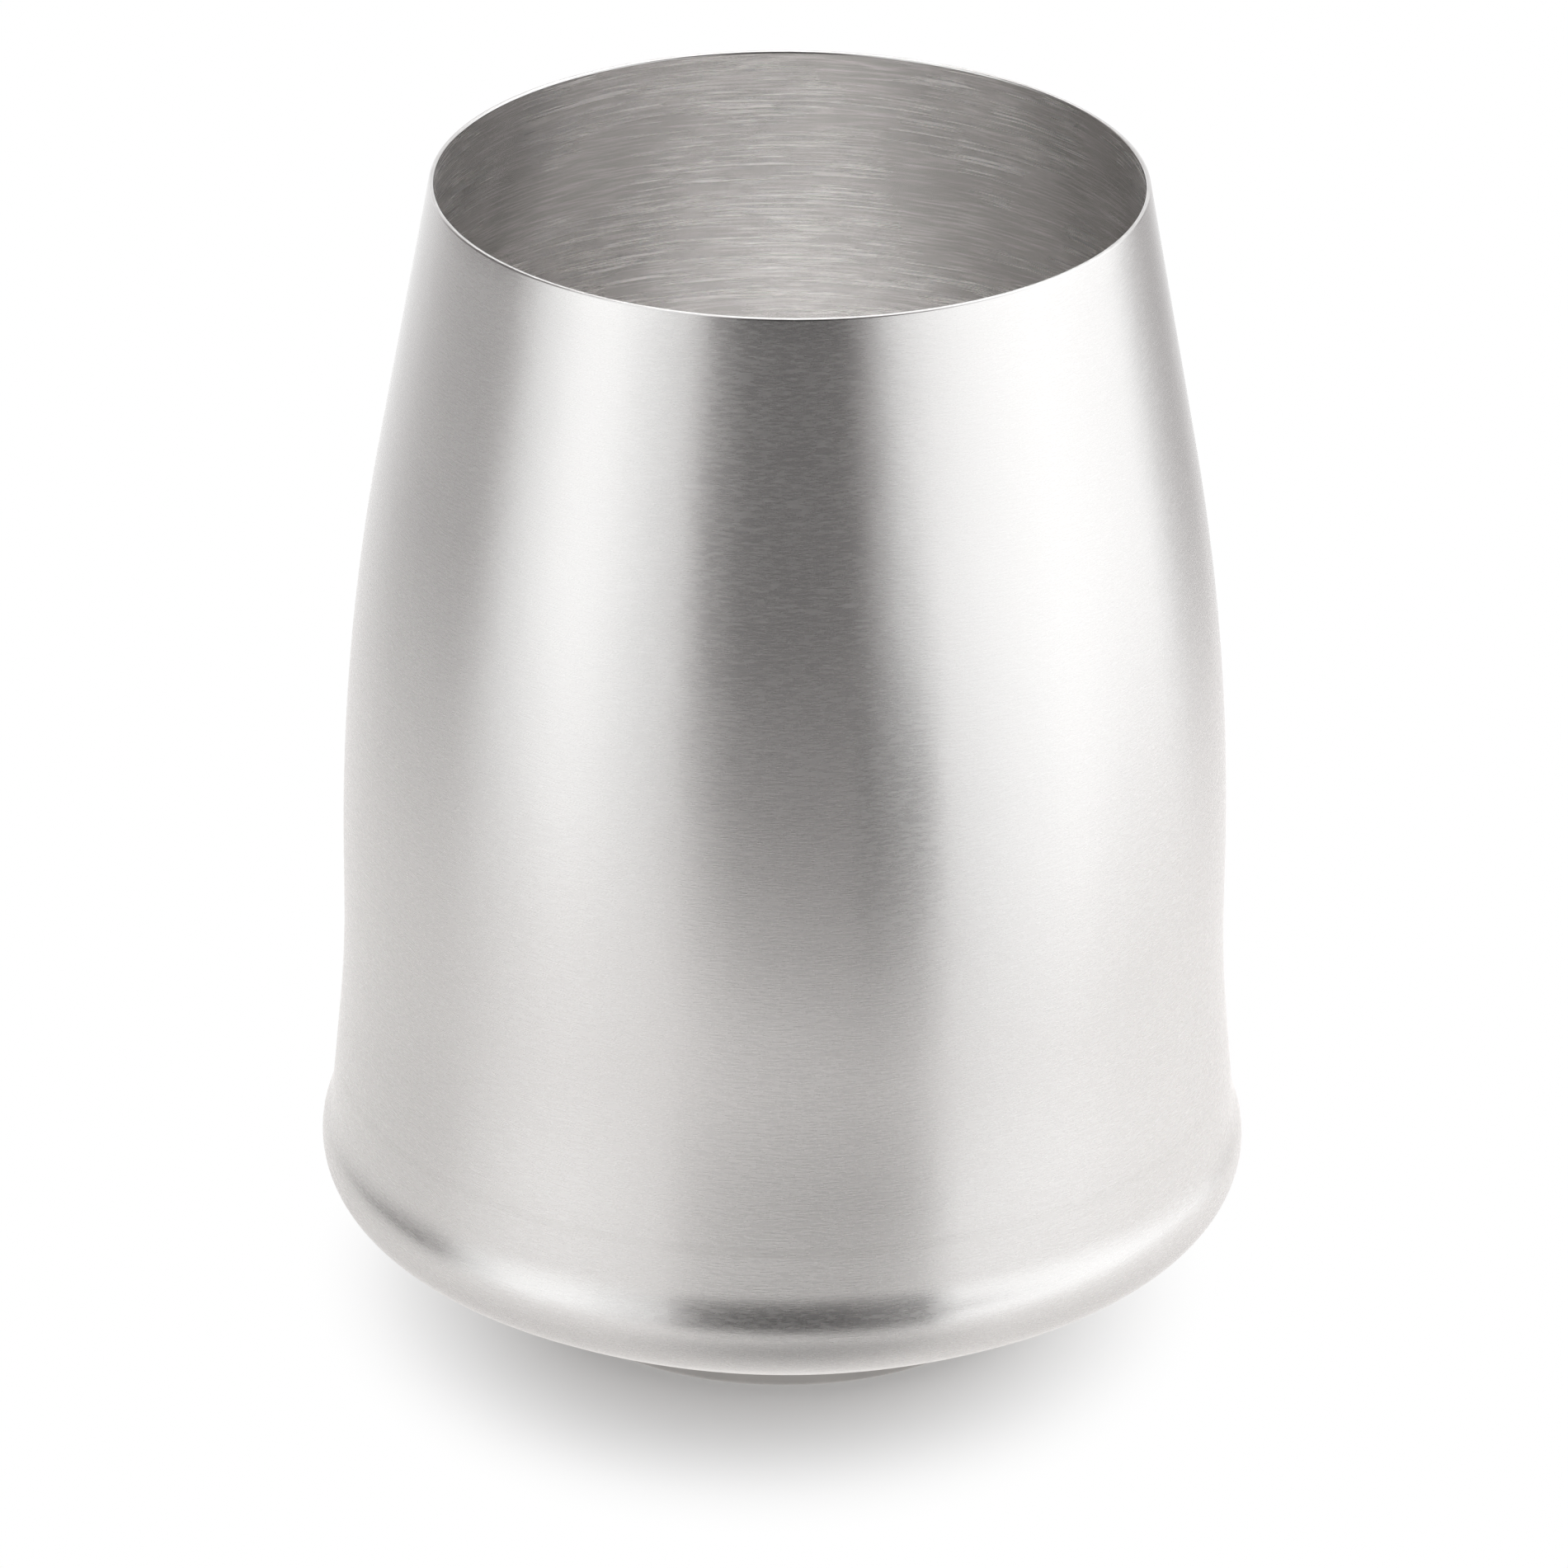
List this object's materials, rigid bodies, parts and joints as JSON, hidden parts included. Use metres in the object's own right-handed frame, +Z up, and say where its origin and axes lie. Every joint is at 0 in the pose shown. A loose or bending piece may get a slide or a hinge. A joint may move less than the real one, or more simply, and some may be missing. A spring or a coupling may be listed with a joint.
{
  "type": "stemless wine glass",
  "caption": "Stemless wine glass in brushed stainless steel: tapered wall welded to a dished base pan with a round heel, on a bonded grey silicone foot.",
  "frame": {"origin": "on the table, at the middle of the foot's underside", "axes": "+Z up along the glass's turning axis, from the foot to the lip; X and Y are alike, because the glass is round"},
  "size_m": [0.09, 0.09, 0.115],
  "materials": {
    "wall_steel": "fine brushed round the glass outside, coarser hand-brushed inside",
    "weld_steel": "ground flush and brushed over outside",
    "pan_steel": "fine brushed round the heel and dish",
    "adhesive": "cured clear-grey bonding film",
    "silicone": "smooth matte moulded silicone"
  },
  "bodies": {
    "root": {"bowl_wall": "wall_steel", "seam_weld": "weld_steel", "base_pan": "pan_steel", "foot_adhesive": "adhesive", "foot_pad": "silicone"}
  },
  "joints": []
}
